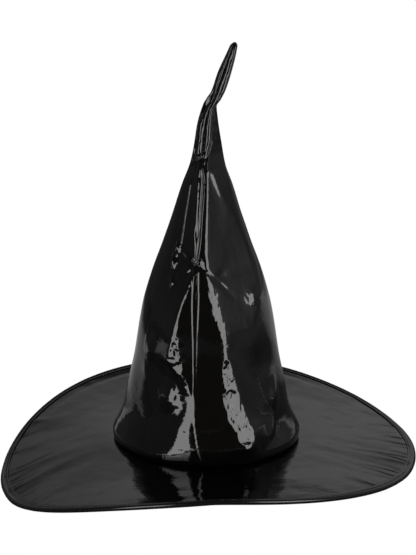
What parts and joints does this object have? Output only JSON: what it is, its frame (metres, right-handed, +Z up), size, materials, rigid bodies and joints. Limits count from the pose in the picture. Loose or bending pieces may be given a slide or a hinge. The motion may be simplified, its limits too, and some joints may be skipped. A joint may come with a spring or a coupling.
{
  "type": "witch hat",
  "caption": "Pointed hat of black patent vinyl with a tall crooked crown, stitched tucks, a bent tip and a wide wired brim that droops at the sides.",
  "frame": {"origin": "on the table, below the middle of the brim", "axes": "+Z up from the table, -Y towards the front seam, +X towards the side that the crown leans to"},
  "size_m": [0.43, 0.43, 0.433],
  "materials": {
    "vinyl": "high-gloss patent vinyl with fine fabric-backed wrinkles",
    "backing": "matt black knitted backing cloth",
    "interlining": "matt non-woven interlining",
    "thread": "black polyester sewing thread",
    "wire": "drawn steel wire",
    "binding": "satin black binding tape",
    "ribbon": "black grosgrain ribbon",
    "label": "blank woven satin label"
  },
  "bodies": {
    "base": {"crown_lower": "vinyl", "crown_lower_interlining": "interlining", "seam_stitching_lower": "thread", "brim_top": "vinyl", "brim_interlining": "interlining", "brim_underside": "backing", "brim_join_stitching": "thread", "brim_wire": "wire", "wire_joiner": "wire", "brim_binding": "binding", "binding_stitching": "thread", "sweatband": "ribbon", "sweatband_stitching": "thread", "care_label": "label"},
    "crown_middle": {"crown_middle": "vinyl", "crown_middle_interlining": "interlining", "seam_stitching_middle": "thread", "lower_tuck_stitching": "thread"},
    "tip": {"crown_tip": "vinyl", "upper_tuck_stitching": "thread"}
  },
  "joints": [
    {"name": "crown_fold", "type": "hinge", "parent": "base", "child": "crown_middle", "pos_m": [0.01084, 0, 0.19765], "axis": [1, 0, 0], "range_deg": [-8, 22], "stiffness_Nm_per_rad": 0.35},
    {"name": "tip_flop", "type": "hinge", "parent": "crown_middle", "child": "tip", "pos_m": [0.01839, 0, 0.31441], "axis": [0, 1, 0], "range_deg": [-15, 40], "stiffness_Nm_per_rad": 0.08}
  ]
}
